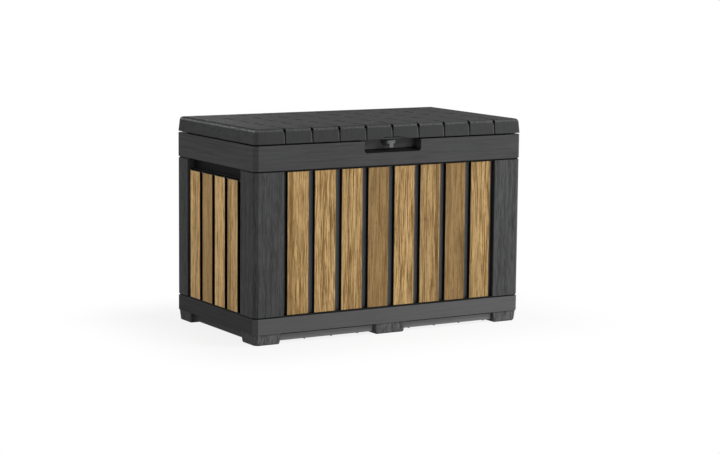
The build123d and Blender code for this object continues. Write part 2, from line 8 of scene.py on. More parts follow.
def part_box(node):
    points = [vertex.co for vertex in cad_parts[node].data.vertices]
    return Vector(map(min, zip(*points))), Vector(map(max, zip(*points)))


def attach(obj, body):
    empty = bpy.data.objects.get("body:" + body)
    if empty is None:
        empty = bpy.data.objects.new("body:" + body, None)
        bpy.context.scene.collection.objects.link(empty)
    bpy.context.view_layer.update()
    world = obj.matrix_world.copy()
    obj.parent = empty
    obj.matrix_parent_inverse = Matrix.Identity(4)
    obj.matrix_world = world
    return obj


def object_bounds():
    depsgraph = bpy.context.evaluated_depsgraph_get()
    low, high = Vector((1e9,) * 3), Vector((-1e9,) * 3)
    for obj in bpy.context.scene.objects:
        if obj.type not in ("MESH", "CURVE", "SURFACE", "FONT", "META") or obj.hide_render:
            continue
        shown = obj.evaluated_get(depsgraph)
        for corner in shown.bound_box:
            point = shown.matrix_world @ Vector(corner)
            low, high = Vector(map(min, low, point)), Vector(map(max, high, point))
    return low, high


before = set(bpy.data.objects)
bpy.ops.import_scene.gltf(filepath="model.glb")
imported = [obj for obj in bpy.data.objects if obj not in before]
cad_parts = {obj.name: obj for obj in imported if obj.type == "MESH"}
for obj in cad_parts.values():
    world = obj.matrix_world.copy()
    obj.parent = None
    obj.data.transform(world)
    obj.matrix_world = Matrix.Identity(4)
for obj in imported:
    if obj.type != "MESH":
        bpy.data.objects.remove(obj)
cad_low, cad_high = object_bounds()

bl_info = {
    "name": "Dock box finish",
    "version": (1, 0, 0),
    "blender": (4, 5, 0),
    "location": "View3D > Sidebar > Dock box",
    "description": "Gives the dock box its moulded resin, wood-look slats, hinges and studio",
    "category": "Object",
}


class DockBoxSizes(bpy.types.PropertyGroup):
    """Sizes of the surface detail"""

    edge_round: bpy.props.FloatProperty(
        name="Edge rounding",
        description="Radius that softens the moulded edges",
        default=0.0012,
        min=0.0,
        unit="LENGTH",
    )
    grain_depth: bpy.props.FloatProperty(
        name="Grain depth",
        description="Height of the moulded wood grain",
        default=0.00035,
        min=0.0,
        unit="LENGTH",
    )
    nub_size: bpy.props.FloatVectorProperty(
        name="Rib end",
        description="Length, width and height of each rib end below the skirt",
        default=(0.0065, 0.0035, 0.010),
        subtype="XYZ",
        unit="LENGTH",
    )
    nub_round: bpy.props.FloatProperty(
        name="Rib end rounding",
        description="Rounding of the rib ends",
        default=0.0006,
        min=0.0,
        unit="LENGTH",
    )


class DockBoxColours(bpy.types.PropertyGroup):
    """Colours of the finishes"""

    resin: bpy.props.FloatVectorProperty(
        name="Resin",
        description="Graphite resin of the rim, the posts and the panels' insides",
        subtype="COLOR",
        size=4,
        default=(0.056, 0.0565, 0.0575, 1.0),
    )
    lid_resin: bpy.props.FloatVectorProperty(
        name="Lid resin",
        description="Duller graphite resin of the lid",
        subtype="COLOR",
        size=4,
        default=(0.0475, 0.048, 0.0485, 1.0),
    )
    # Lighter than the rim's resin as painted reflection of the floor; the feet and lock tabs
    # share it
    base_resin: bpy.props.FloatVectorProperty(
        name="Base resin",
        description="Lighter resin of the base, the feet and the lock tabs",
        subtype="COLOR",
        size=4,
        default=(0.098, 0.0985, 0.100, 1.0),
    )
    dark_resin: bpy.props.FloatVectorProperty(
        name="Dark resin",
        description="Resin of the panels behind the slats and of the lid's liner",
        subtype="COLOR",
        size=4,
        default=(0.088, 0.092, 0.097, 1.0),
    )
    # Near black: the dark resin of rib and board sides, deepened as painted shade
    flank: bpy.props.FloatVectorProperty(
        name="Rib flank",
        description="Sides of the ribs and of the boards",
        subtype="COLOR",
        size=4,
        default=(0.006, 0.006, 0.006, 1.0),
    )
    oak_light: bpy.props.FloatVectorProperty(
        name="Light oak",
        description="Early wood of the printed oak",
        subtype="COLOR",
        size=4,
        default=(0.66, 0.440, 0.195, 1.0),
    )
    oak_dark: bpy.props.FloatVectorProperty(
        name="Dark oak",
        description="Late wood and pores of the printed oak",
        subtype="COLOR",
        size=4,
        default=(0.165, 0.084, 0.022, 1.0),
    )
    oak_brown: bpy.props.FloatVectorProperty(
        name="Brown oak",
        description="Even tone of the browner boards",
        subtype="COLOR",
        size=4,
        default=(0.265, 0.152, 0.055, 1.0),
    )
    steel: bpy.props.FloatVectorProperty(
        name="Steel",
        description="Hinges, pins and screws",
        subtype="COLOR",
        size=4,
        default=(0.42, 0.42, 0.43, 1.0),
    )
    floor: bpy.props.FloatVectorProperty(
        name="Floor",
        description="Studio floor",
        subtype="COLOR",
        size=4,
        default=(0.75, 0.75, 0.75, 1.0),
    )


class DockBoxStudio(bpy.types.PropertyGroup):
    """Camera and light"""

    lens: bpy.props.FloatProperty(
        name="Focal length",
        description="Focal length of the camera on a 36 mm sensor",
        default=103.31,
        unit="CAMERA",
    )
    yaw: bpy.props.FloatProperty(
        name="Camera yaw",
        description="Turn of the camera from straight ahead towards the right",
        default=0.53462,
        subtype="ANGLE",
    )
    pitch: bpy.props.FloatProperty(
        name="Camera pitch",
        description="Tilt of the camera downward",
        default=0.13791,
        subtype="ANGLE",
    )
    roll: bpy.props.FloatProperty(
        name="Camera roll",
        description="Roll of the camera",
        default=0.00964,
        subtype="ANGLE",
    )
    place: bpy.props.FloatVectorProperty(
        name="Camera place",
        description="Where the camera stands",
        default=(-2.8547, -4.8893, 1.0445),
        subtype="TRANSLATION",
        unit="LENGTH",
    )
    key_power: bpy.props.FloatProperty(
        name="Key light",
        description="Power of the large light in front",
        default=82.0,
        unit="POWER",
    )
    low_power: bpy.props.FloatProperty(
        name="Low light",
        description="Power of the low light in front, which reaches under the overhangs",
        default=30.0,
        unit="POWER",
    )
    fill_power: bpy.props.FloatProperty(
        name="Side light",
        description="Power of the light on the left",
        default=22.0,
        unit="POWER",
    )
    rear_power: bpy.props.FloatProperty(
        name="Rear light",
        description="Power of the light behind the box",
        default=26.0,
        unit="POWER",
    )
    top_power: bpy.props.FloatProperty(
        name="Top light",
        description="Power of the light overhead",
        default=1.0,
        unit="POWER",
    )
    sky: bpy.props.FloatProperty(
        name="Sky",
        description="Strength of the even light from all round",
        default=0.25,
        min=0.0,
    )


# Heights of the shadow gaps between the layers, in metres, painted near black as painted shade
ABOVE_BASE = (0.0701, 0.0741)
BELOW_RIM = (0.4505, 0.4549)
ABOVE_RIM = (0.5201, 0.5245)

# Lower edge of the base's band, and the heights down to which the band's painted shadow reaches
# on the set-back skirt in front and on the sides
BAND_FOOT = 0.0285
FRONT_SHADE = 0.0240
SIDE_SHADE = 0.0220

# Latch recess, with painted shade on its floor and painted light on its back wall: heights of its
# floor, half its width, how far back its floor goes, and the stretch from front to back that
# holds its back wall
RECESS_FLOOR = (0.486, 0.501)
RECESS_HALF = 0.0885
RECESS_BACK = cad_low.y + 0.0385
RECESS_WALL = (RECESS_BACK - 0.014, RECESS_BACK + 0.004)

# Distance between the grooves down the lid's front, the same as between the front boards
GROOVE_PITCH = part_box("front_slat_2")[0].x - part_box("front_slat_1")[0].x

# Lid's front: how many grooves, half a groove's width and how far back the painted marks reach
GROOVE_COUNT = 9
GROOVE_HALF = 0.0017
MARKS_DEPTH = 0.0235

# Notch at the top of a groove, painted in deep shade: its sides from the groove's middle, and its
# foot and head below the lid's top
NOTCH_SIDES = (-0.0046, 0.00305)
NOTCH_FOOT = 0.0085
NOTCH_HEAD = 0.0030

# Painted highlight on the block's edge beside a groove: its sides from the groove's middle, and
# its head below the lid's top
GROOVE_HIGHLIGHT_SIDES = (-0.0048, -GROOVE_HALF)
GROOVE_HIGHLIGHT_HEAD = 0.008

# What painted shade and light add to the tone under them, as a share of it
GAP_TONE = -0.9
SKIRT_SHADOW_TONE = -0.85
RECESS_FLOOR_TONE = -0.85
RECESS_WALL_TONE = 0.7
MARKS_TONE = -0.94
GROOVE_HIGHLIGHT_TONE = 0.6

# Rib ends below the skirt: how many in a row, their lowest point, and how far their outer
# faces lie inward of the base's front and rear faces
NUB_COUNT = 9
NUB_FOOT = 0.0006
NUB_BACK = 0.0385

# Tone of the panels between the boards: raised in front as painted light in the shaded gaps, and
# lowered on the sides as painted shade; and how far above the side boards it still shows, above
# which the side panels are near black as painted shade
FRONT_PANEL_LIGHT = 1.8
SIDE_PANEL_SHADE = 0.8
ABOVE_BOARDS = 0.0015

# Cycles a metre of the grain: across its fine streaks, and along and across its broad bands
STREAKS_ACROSS = 520.0
BANDS_ALONG = 4.0
BANDS_ACROSS = 130.0

# How far the oak's grain wanders sideways, in metres
WANDER = 0.016

# Colour sockets of a mix node: its two inputs and its output
MIX_FIRST, MIX_SECOND, MIX_RESULT = 6, 7, 2

# Studio floor: its radius and its corners
FLOOR_RADIUS = 9.0
FLOOR_CORNERS = 96

# Share of the floor's own glow next to the box, and the distance at which it is whole
GLOW_NEAR = 0.86
GLOW_REACH = 0.35

# Each lamp's name, place, point that it faces, width in metres and setting for its power
LAMPS = (
    ("front_light", (1.95, -1.8, 2.0), (0.0, 0.0, 0.25), 1.3, "key_power"),
    ("low_light", (1.3, -4.2, 0.5), (0.0, 0.0, 0.25), 1.8, "low_power"),
    ("left_light", (-3.4, -0.6, 0.9), (0.0, 0.0, 0.25), 2.0, "fill_power"),
    ("rear_light", (0.9, 3.3, 0.55), (0.0, 0.0, 0.3), 0.9, "rear_power"),
    ("top_light", (0.2, 0.3, 3.4), (0.0, 0.0, 0.3), 2.6, "top_power"),
)


class Finish:
    """A procedural material under construction."""

    def __init__(self, name):
        self.material = bpy.data.materials.new(name)
        self.material.use_nodes = True
        self.tree = self.material.node_tree
        self.shader = self.tree.nodes["Principled BSDF"]
        self.place = self.add("ShaderNodeTexCoord").outputs["Object"]

    def add(self, kind, **settings):
        """A new node with its settings."""
        node = self.tree.nodes.new(kind)
        for key, value in settings.items():
            setattr(node, key, value)
        return node

    def feed(self, node, values):
        """Link outputs to a node's sockets, or set the sockets to plain values."""
        for socket, value in values.items():
            if isinstance(value, bpy.types.NodeSocket):
                self.tree.links.new(value, node.inputs[socket])
            else:
                node.inputs[socket].default_value = value

    def math(self, operation, first, second=0.0, third=0.0):
        """One step of arithmetic."""
        node = self.add("ShaderNodeMath", operation=operation)
        self.feed(node, {0: first, 1: second, 2: third})
        return node.outputs[0]

    def product(self, first, *others):
        """Two or more values multiplied."""
        for value in others:
            first = self.math("MULTIPLY", first, value)
        return first

    def toned(self, shade, where, amount):
        """A shade made paler, or darker for an amount below zero, where a mask is 1."""
        return self.product(shade, self.math("ADD", self.product(where, amount), 1.0))

    def stretched(self, scale, shift=(0.0, 0.0, 0.0)):
        """Object coordinates, moved and scaled."""
        node = self.add("ShaderNodeMapping")
        self.feed(node, {"Vector": self.place, "Location": shift, "Scale": scale})
        return node.outputs["Vector"]

    def noise(self, vector, detail, roughness=0.55, distortion=0.0):
        """Noise with one cycle for each unit of a vector."""
        node = self.add("ShaderNodeTexNoise")
        self.feed(node, {"Vector": vector, "Scale": 1.0, "Detail": detail})
        self.feed(node, {"Roughness": roughness, "Distortion": distortion})
        return node.outputs["Fac"]

    def even_noise(self, scale, detail):
        """Noise with the same cycles a metre along every axis."""
        return self.noise(self.stretched((scale, scale, scale)), detail)

    def ramp(self, value, low, high, to_low=0.0, to_high=1.0):
        """Map a value from one range to another, smoothly and clamped."""
        node = self.add("ShaderNodeMapRange", interpolation_type="SMOOTHSTEP")
        self.feed(node, {"Value": value, "From Min": low, "From Max": high})
        self.feed(node, {"To Min": to_low, "To Max": to_high})
        return node.outputs["Result"]

    def between(self, value, low, high):
        """1 where a value lies between two limits, and 0 elsewhere."""
        above = self.math("GREATER_THAN", value, low)
        return self.product(above, self.math("LESS_THAN", value, high))

    def mix(self, factor, first, second):
        """One colour that turns into another."""
        node = self.add("ShaderNodeMix", data_type="RGBA", blend_type="MIX")
        self.feed(node, {"Factor": factor, MIX_FIRST: first, MIX_SECOND: second})
        return node.outputs[MIX_RESULT]

    def brightened(self, colour, factor):
        """A colour times a varying factor."""
        if not isinstance(colour, bpy.types.NodeSocket):
            colour = tuple(colour)[:3]
        node = self.add("ShaderNodeVectorMath", operation="SCALE")
        self.feed(node, {0: colour, "Scale": factor})
        return node.outputs["Vector"]

    def shaded(self, colour, reach=0.006, depth=0.25):
        """A colour darkened in gaps and corners by ambient occlusion, as painted shade."""
        open_sky = self.add("ShaderNodeAmbientOcclusion", samples=8)
        open_sky.inputs["Distance"].default_value = reach
        return self.brightened(colour, self.ramp(open_sky.outputs["AO"], 0.1, 0.5, depth, 1.0))

    def part(self, vector, number):
        """One part of a vector: 0 for X, 1 for Y and 2 for Z."""
        apart = self.add("ShaderNodeSeparateXYZ")
        self.feed(apart, {0: vector})
        return apart.outputs[number]

    def axes(self):
        """The three object coordinates, in metres."""
        return [self.part(self.place, number) for number in range(3)]

    def normal(self):
        """The direction in which the true surface faces."""
        return self.add("ShaderNodeNewGeometry").outputs["True Normal"]

    def sideways(self):
        """How far the true surface faces left or right, from 0 to 1."""
        return self.math("ABSOLUTE", self.part(self.normal(), 0))

    def facing(self, direction):
        """How far the true surface faces a fixed direction, from 0 to 1."""
        node = self.add("ShaderNodeVectorMath", operation="DOT_PRODUCT")
        self.feed(node, {0: self.normal(), 1: direction})
        return self.math("MAXIMUM", node.outputs["Value"], 0.0)

    def dress(self, colour, roughness, specular):
        """Give the shader its colour, roughness and specular level."""
        self.feed(self.shader, {"Base Color": colour, "Roughness": roughness})
        self.shader.inputs["Specular IOR Level"].default_value = specular

    def relief(self, height, depth, edge=0.0):
        """Bump from a height, over edges softened by a small radius."""
        bump = self.add("ShaderNodeBump")
        self.feed(bump, {"Strength": 1.0, "Distance": depth, "Height": height})
        if edge > 0.0:
            soft = self.add("ShaderNodeBevel", samples=6)
            soft.inputs["Radius"].default_value = edge
            self.feed(bump, {"Normal": soft.outputs["Normal"]})
        self.feed(self.shader, {"Normal": bump.outputs["Normal"]})


def wear(material, *nodes):
    """Give CAD nodes a material in place of their own."""
    for name in nodes:
        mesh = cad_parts[name].data
        mesh.materials.clear()
        mesh.materials.append(material)


def skirt_light_and_shadow(finish, shade, lift):
    """Lighten the set-back skirt as painted light, and darken its top with the band's painted
    shadow.
    """
    height = finish.part(finish.place, 2)
    shade = finish.toned(shade, finish.math("LESS_THAN", height, BAND_FOOT), lift - 1.0)
    # The band's painted shadow reaches lower on the sides than in front
    lower = finish.product(finish.sideways(), SIDE_SHADE - FRONT_SHADE)
    band_shadow = finish.between(height, finish.math("ADD", lower, FRONT_SHADE), BAND_FOOT)
    return finish.toned(shade, band_shadow, SKIRT_SHADOW_TONE)


def recess_shade_and_light(finish, shade):
    """Darken the floor of the latch recess as painted shade, and lighten its back wall as painted
    light.
    """
    across, back, up = finish.axes()
    inside = finish.between(across, -RECESS_HALF, RECESS_HALF)
    floor = finish.product(
        finish.facing((0.0, 0.0, 1.0)),
        finish.between(up, *RECESS_FLOOR),
        inside,
        finish.math("LESS_THAN", back, RECESS_BACK),
    )
    wall = finish.product(
        finish.math("GREATER_THAN", finish.facing((0.0, -1.0, 0.0)), 0.5),
        finish.between(up, RECESS_FLOOR[0], ABOVE_RIM[0]),
        inside,
        finish.between(back, *RECESS_WALL),
    )
    shade = finish.toned(shade, floor, RECESS_FLOOR_TONE)
    return finish.toned(shade, wall, RECESS_WALL_TONE)


def grained_resin(
    name, along, strength, colour, sizes, side=0.8, gaps=(), recess=False, lift=1.0, dash=9.0
):
    """Moulded resin whose wood grain runs along one or two axes of X, Y and Z.

    strength is how far the grain varies the tone, and dash its cycles a metre along the grain.
    side darkens the faces to the left and right as painted shade, gaps are heights painted in
    deep shade, recess adds the latch recess's painted shade and light, and lift lightens the
    set-back skirt as painted light, with the band's painted shadow at its top.
    """
    finish = Finish(name)
    fine = [dash if axis in along else STREAKS_ACROSS for axis in "XYZ"]
    broad = [BANDS_ALONG if axis in along else BANDS_ACROSS for axis in "XYZ"]
    streaks = finish.noise(finish.stretched(fine), 4.0, roughness=0.65, distortion=0.35)
    bands = finish.noise(finish.stretched(broad), 2.0)
    cloud = finish.even_noise(5.0, 2.0)
    grit = finish.even_noise(2600.0, 1.0)
    grain = finish.math("ADD", finish.product(streaks, 0.7), finish.product(bands, 0.3))
    # Faces to the left and right are darkened by side as painted shade
    shade = finish.product(
        finish.ramp(grain, 0.36, 0.64, 1.0 - strength, 1.0 + strength),
        finish.ramp(cloud, 0.3, 0.7, 0.96, 1.04),
        finish.ramp(finish.sideways(), 0.5, 0.95, 1.0, side),
    )
    # Painted shade in the shadow gaps
    for low, high in gaps:
        gap = finish.between(finish.part(finish.place, 2), low, high)
        shade = finish.toned(shade, gap, GAP_TONE)
    # Painted light on the skirt, and the band's painted shadow on its top
    if lift > 1.0:
        shade = skirt_light_and_shadow(finish, shade, lift)
    # Painted shade on the recess floor and painted light on its back wall
    if recess:
        shade = recess_shade_and_light(finish, shade)
    tone = finish.shaded(finish.brightened(colour, shade))
    finish.dress(tone, finish.ramp(grain, 0.3, 0.7, 0.63, 0.49), specular=0.08)
    height = finish.math("ADD", grain, finish.product(grit, 0.12))
    finish.relief(height, sizes.grain_depth * strength * 6.0, sizes.edge_round)
    return finish.material


class DOCKBOX_OT_frame(bpy.types.Operator):
    """Finish the base, feet, posts, rim and lock tabs in graphite resin"""

    bl_idname = "dockbox.frame"
    bl_label = "Frame finish"

    def execute(self, context):
        sizes, colours = context.scene.dockbox_sizes, context.scene.dockbox_colours
        resin, base = colours.resin, colours.base_resin
        # The lock tabs sit in the recess's shade, so their resin is lightened as painted light
        lock_lit_colour = tuple(1.45 * part for part in base)
        upright = grained_resin(
            "resin_upright_grain", "Z", 0.46, resin, sizes, side=0.7, dash=24.0
        )
        foot = grained_resin("resin_foot_grain", "Z", 0.55, base, sizes, side=0.4, dash=40.0)
        rim_gaps = (BELOW_RIM, ABOVE_RIM)
        level = grained_resin(
            "resin_level_grain", "XY", 0.15, resin, sizes, side=0.85, gaps=rim_gaps, recess=True
        )
        plain = grained_resin(
            "resin_base", "XY", 0.06, base, sizes, side=0.2, gaps=(ABOVE_BASE,), lift=2.0
        )
        lock = grained_resin("resin_lock", "XY", 0.06, lock_lit_colour, sizes)
        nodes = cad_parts
        wear(upright, *[name for name in nodes if name.startswith("post_")])
        wear(foot, *[name for name in nodes if name.startswith("foot_")])
        wear(level, "rim_frame")
        wear(plain, "base_tray")
        wear(lock, "lock_staple", "lid_hasp")
        return {"FINISHED"}


def front_shade_and_highlight(finish, shade):
    """Paint shade into the notches and grooves along the lid's front, and highlights on the edges
    beside them.
    """
    low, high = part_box("lid_shell")
    across, back, up = finish.axes()
    aside = finish.math("WRAP", across, -GROOVE_PITCH / 2, GROOVE_PITCH / 2)
    widest = GROOVE_COUNT / 2 * GROOVE_PITCH
    front = finish.product(
        finish.math("LESS_THAN", back, low.y + MARKS_DEPTH),
        finish.math("LESS_THAN", finish.math("ABSOLUTE", across), widest),
    )
    notch = finish.product(
        finish.between(aside, *NOTCH_SIDES),
        finish.between(up, high.z - NOTCH_FOOT, high.z - NOTCH_HEAD),
    )
    groove = finish.math("LESS_THAN", finish.math("ABSOLUTE", aside), GROOVE_HALF)
    marks = finish.product(finish.math("MAXIMUM", notch, groove), front)
    groove_highlight = finish.product(
        finish.between(aside, *GROOVE_HIGHLIGHT_SIDES),
        finish.math("LESS_THAN", up, high.z - GROOVE_HIGHLIGHT_HEAD),
        front,
    )
    shade = finish.toned(shade, groove_highlight, GROOVE_HIGHLIGHT_TONE)
    return finish.toned(shade, marks, MARKS_TONE)


def lid_resin(colour, sizes):
    """Lid resin: grain, a painted highlight on the curved edges, painted shade in the front's
    notches.
    """
    finish = Finish("lid_resin")
    fine = finish.stretched((STREAKS_ACROSS, 30.0, 30.0))
    streaks = finish.noise(fine, 3.0, roughness=0.65, distortion=0.3)
    cloud = finish.even_noise(5.0, 2.0)
    grit = finish.even_noise(380.0, 2.0)
    upward, sideways = finish.part(finish.normal(), 2), finish.sideways()
    # Faces to the left and right are made paler as painted light
    shade = finish.product(
        finish.ramp(streaks, 0.36, 0.64, 0.92, 1.08),
        finish.ramp(cloud, 0.3, 0.7, 0.97, 1.03),
        finish.ramp(sideways, 0.5, 0.95, 1.0, 1.5),
    )
    edge_highlight = finish.product(
        finish.ramp(upward, 0.15, 0.4),
        finish.ramp(upward, 0.65, 0.95, 1.0, 0.0),
        finish.ramp(grit, 0.4, 0.62, 0.1, 0.9),
    )
    # Painted highlight on the curved edges, brightest on the left and right
    paler = finish.math("ADD", finish.product(sideways, 4.4), 1.3)
    shade = finish.toned(shade, edge_highlight, paler)
    tone = finish.brightened(colour, front_shade_and_highlight(finish, shade))
    tone = finish.shaded(tone, reach=0.004, depth=0.35)
    finish.dress(tone, finish.ramp(streaks, 0.3, 0.7, 0.75, 0.62), specular=0.02)
    height = finish.math("ADD", streaks, finish.product(grit, 0.3))
    finish.relief(height, sizes.grain_depth * 0.8, sizes.edge_round * 1.5)
    return finish.material


class DOCKBOX_OT_nubs(bpy.types.Operator):
    """Model the rib ends that show below the skirt, front and rear"""

    bl_idname = "dockbox.nubs"
    bl_label = "Rib ends"

    def execute(self, context):
        sizes, colours = context.scene.dockbox_sizes, context.scene.dockbox_colours
        long, wide, tall = sizes.nub_size
        shape = bmesh.new()
        base_low, base_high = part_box("base_tray")
        for row in (base_low.y + NUB_BACK, base_high.y - NUB_BACK):
            inward = long / 2 if row < 0 else -long / 2
            for number in range(NUB_COUNT):
                x = (number - (NUB_COUNT - 1) / 2) * GROOVE_PITCH
                place = (x, row + inward, NUB_FOOT + tall / 2)
                made = bmesh.ops.create_cube(shape, size=1.0)["verts"]
                bmesh.ops.scale(shape, vec=(wide, long, tall), verts=made)
                bmesh.ops.translate(shape, vec=place, verts=made)
        bmesh.ops.bevel(
            shape,
            geom=shape.edges[:],
            offset=sizes.nub_round,
            segments=2,
            profile=0.5,
            affect="EDGES",
            material=-1,
        )
        mesh = bpy.data.meshes.new("rib_ends")
        shape.to_mesh(mesh)
        shape.free()
        nubs = bpy.data.objects.new("rib_ends", mesh)
        context.collection.objects.link(nubs)
        resin = grained_resin("resin_rib_ends", "XY", 0.05, colours.base_resin, sizes)
        mesh.materials.append(resin)
        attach(nubs, "box")
        return {"FINISHED"}


class DOCKBOX_OT_lid(bpy.types.Operator):
    """Finish the lid in resin with a grain that runs over its front edge"""

    bl_idname = "dockbox.lid"
    bl_label = "Lid finish"

    def execute(self, context):
        sizes, colours = context.scene.dockbox_sizes, context.scene.dockbox_colours
        wear(lid_resin(colours.lid_resin, sizes), "lid_shell")
        wear(grained_resin("liner_resin", "XY", 0.03, colours.dark_resin, sizes), "lid_liner")
        return {"FINISHED"}


def panel_resin(name, outward, sizes, colours, level, top=1.0):
    """Panel resin toned by level as painted light and shade, near black as painted shade on rib
    flanks and above top.
    """
    finish = Finish(name)
    cloud = finish.even_noise(8.0, 2.0)
    grit = finish.even_noise(1900.0, 1.0)
    mottle = finish.ramp(cloud, 0.3, 0.7, 0.94 * level, 1.06 * level)
    face = finish.product(
        finish.math("GREATER_THAN", finish.facing(outward), 0.5),
        finish.math("LESS_THAN", finish.part(finish.place, 2), top),
    )
    inside = finish.math("GREATER_THAN", finish.facing([-part for part in outward]), 0.5)
    tone = finish.mix(face, colours.flank, finish.brightened(colours.dark_resin, mottle))
    tone = finish.shaded(finish.mix(inside, tone, colours.resin), reach=0.003)
    finish.dress(tone, finish.ramp(grit, 0.3, 0.7, 0.5, 0.62), specular=0.04)
    finish.relief(grit, sizes.grain_depth * 0.3)
    return finish.material


class DOCKBOX_OT_panels(bpy.types.Operator):
    """Finish the four panels in plain dark resin"""

    bl_idname = "dockbox.panels"
    bl_label = "Panel finish"

    def execute(self, context):
        sizes, colours = context.scene.dockbox_sizes, context.scene.dockbox_colours
        front = panel_resin("front_panel_resin", (0, -1, 0), sizes, colours, FRONT_PANEL_LIGHT)
        wear(front, "front_panel")
        wear(grained_resin("rear_panel_resin", "Z", 0.10, colours.resin, sizes), "rear_panel")
        for side, outward in (("left", (-1, 0, 0)), ("right", (1, 0, 0))):
            name = f"{side}_panel"
            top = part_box(f"{side}_slat_1")[1].z + ABOVE_BOARDS
            resin = panel_resin(f"{name}_resin", outward, sizes, colours, SIDE_PANEL_SHADE, top)
            wear(resin, name)
        return {"FINISHED"}


# How each board differs: tone (on the side boards raised as painted light), browning, strength of
# its arched figure, place of a dark streak across it (0 for none) and how far along the print it
# was cut
OAK = {
    "front_slat_1": (0.94, 0.10, 0.30, -0.32, 0.13),
    "front_slat_2": (0.97, 0.00, 0.70, 0.00, 1.31),
    "front_slat_3": (0.88, 0.05, 0.80, 0.00, 2.47),
    "front_slat_4": (0.69, 0.45, 0.10, 0.00, 3.77),
    "front_slat_5": (0.92, 0.00, 0.75, 0.00, 4.29),
    "front_slat_6": (0.72, 0.05, 0.30, 0.36, 5.61),
    "front_slat_7": (0.65, 0.45, 0.10, 0.00, 6.83),
    "front_slat_8": (0.76, 0.00, 0.80, 0.00, 7.37),
    "left_slat_1": (1.62, 0.00, 0.40, 0.00, 8.23),
    "left_slat_2": (1.30, 0.55, 0.15, 0.00, 9.71),
    "left_slat_3": (1.58, 0.00, 0.50, 0.00, 10.19),
    "left_slat_4": (1.32, 0.05, 0.30, 0.38, 11.53),
    "right_slat_1": (1.20, 0.00, 0.50, 0.00, 12.91),
    "right_slat_2": (1.00, 0.45, 0.15, 0.00, 13.37),
    "right_slat_3": (1.22, 0.00, 0.70, 0.00, 14.59),
    "right_slat_4": (1.08, 0.05, 0.35, -0.34, 15.17),
}


def printed_oak(board, outward, sizes, colours):
    """Printed oak on the face of one board; its edges are bare dark resin deepened to near black
    as painted shade.
    """
    tone, browning, figure, streak_place, cut = OAK[board]
    low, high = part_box(board)
    middle = (low + high) / 2
    across = 0 if outward[0] == 0 else 1
    board_width = (high - low)[across]
    finish = Finish(f"oak_{board}")
    places = finish.axes()
    along = places[2]

    # The grain wanders a few millimetres sideways on its way up the board
    wander = finish.noise(finish.stretched((7.0, 7.0, 3.2), (cut, cut, cut)), 2.0)
    drift = finish.product(finish.math("SUBTRACT", wander, 0.5), WANDER)
    side = finish.math("ADD", finish.math("SUBTRACT", places[across], middle[across]), drift)

    def layer(fine, long, detail, roughness=0.6, shift=0.0):
        """Noise that is fine across the board and long up it, both in cycles a metre."""
        joined = finish.add("ShaderNodeCombineXYZ")
        finish.feed(joined, {0: finish.product(side, fine), 1: finish.product(along, long)})
        finish.feed(joined, {2: cut * 7.0 + shift})
        return finish.noise(joined.outputs[0], detail, roughness)

    fibres = layer(300.0, 11.0, 3.0, 0.75)
    bands = layer(75.0, 2.2, 2.0, 0.5, 3.1)
    pores = layer(420.0, 55.0, 2.0, 0.6, 5.7)
    fade = layer(22.0, 5.0, 2.0, 0.5, 8.3)

    # Arched figure: nested loops that close towards the top of the board
    heart = finish.math("SUBTRACT", side, 0.12 * board_width * sin(cut * 5.0))
    climb = finish.product(heart, heart, 420.0 + 160.0 * cos(cut * 3.0))
    climb = finish.math("ADD", climb, finish.product(along, 0.55))
    climb = finish.math("ADD", climb, finish.product(bands, 0.16))
    loops = finish.math("SINE", finish.product(climb, 95.0))
    loops = finish.math("ADD", finish.product(loops, 0.5), 0.5)
    loops = finish.product(loops, finish.ramp(fade, 0.38, 0.62))

    grain = finish.math("ADD", finish.product(fibres, 0.72), finish.product(bands, 0.28))
    grain = finish.math("SUBTRACT", grain, finish.product(loops, 0.10 * figure))
    wood = finish.mix(finish.ramp(grain, 0.34, 0.62), colours.oak_dark, colours.oak_light)
    wood = finish.mix(finish.ramp(pores, 0.56, 0.70, 0.0, 0.6), wood, colours.oak_dark)
    wood = finish.mix(browning, wood, colours.oak_brown)
    if streak_place:
        gap = finish.math("SUBTRACT", side, streak_place * board_width)
        dark = finish.ramp(finish.math("ABSOLUTE", gap), 0.002, 0.009, 0.55, 0.0)
        wood = finish.mix(dark, wood, colours.oak_dark)
    wood = finish.brightened(wood, finish.ramp(fade, 0.3, 0.7, tone * 0.93, tone * 1.07))
    face = finish.math("GREATER_THAN", finish.facing(outward), 0.9)
    colour = finish.mix(face, colours.flank, wood)
    finish.dress(colour, finish.ramp(grain, 0.3, 0.65, 0.62, 0.48), specular=0.08)
    finish.relief(grain, sizes.grain_depth * 0.8)
    return finish.material


class DOCKBOX_OT_slats(bpy.types.Operator):
    """Print each slat's face with its own stretch of oak"""

    bl_idname = "dockbox.slats"
    bl_label = "Slat finish"

    def execute(self, context):
        sizes, colours = context.scene.dockbox_sizes, context.scene.dockbox_colours
        facing = {"front": (0, -1, 0), "left": (-1, 0, 0), "right": (1, 0, 0)}
        for board in OAK:
            outward = facing[board.split("_")[0]]
            wear(printed_oak(board, outward, sizes, colours), board)
        return {"FINISHED"}


def brushed_steel(name, along, colour):
    """Satin steel with fine brushing along one axis."""
    finish = Finish(name)
    scale = [40.0 if axis in along else 3000.0 for axis in "XYZ"]
    brush = finish.noise(finish.stretched(scale), 2.0)
    cloud = finish.even_noise(30.0, 2.0)
    tone = finish.brightened(colour, finish.ramp(cloud, 0.3, 0.7, 0.92, 1.05))
    roughness = finish.ramp(brush, 0.3, 0.7, 0.28, 0.44)
    finish.feed(finish.shader, {"Base Color": tone, "Roughness": roughness})
    finish.shader.inputs["Metallic"].default_value = 1.0
    finish.relief(brush, 0.00003, 0.0004)
    return finish.material


